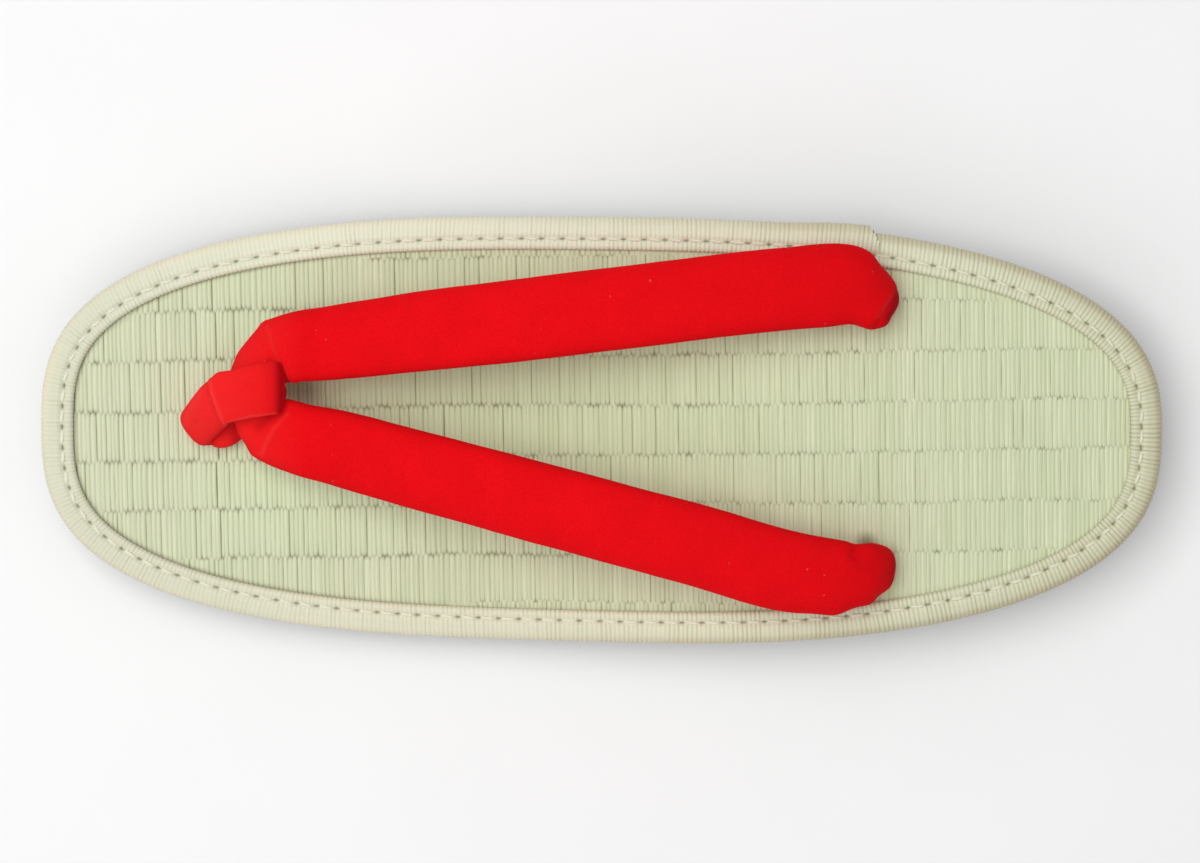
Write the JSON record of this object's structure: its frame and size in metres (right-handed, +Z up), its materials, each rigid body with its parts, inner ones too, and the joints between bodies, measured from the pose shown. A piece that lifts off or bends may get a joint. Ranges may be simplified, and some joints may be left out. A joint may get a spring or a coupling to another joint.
{
  "type": "zori sandal",
  "caption": "Flat sandal for either foot: a woven rush footbed bound with ribbed tape on a foam wedge, with a padded velvet V strap held by a toe loop.",
  "frame": {"origin": "on the floor, below the middle of the sole", "axes": "+Y from heel to toe, +X to the wearer's right, +Z up"},
  "size_m": [0.0916, 0.2398, 0.0457],
  "materials": {
    "rubber": "matt, moulded",
    "foam": "matt, skived",
    "rush": "woven rush, slight sheen",
    "ribbed_tape": "ribbed woven tape, slight sheen",
    "red_velvet": "short even nap"
  },
  "bodies": {
    "root": {"outsole": "rubber", "midsole": "foam", "rush_mat": "rush", "edge_binding": "ribbed_tape", "strap": "red_velvet", "toe_loop": "red_velvet"}
  },
  "joints": []
}
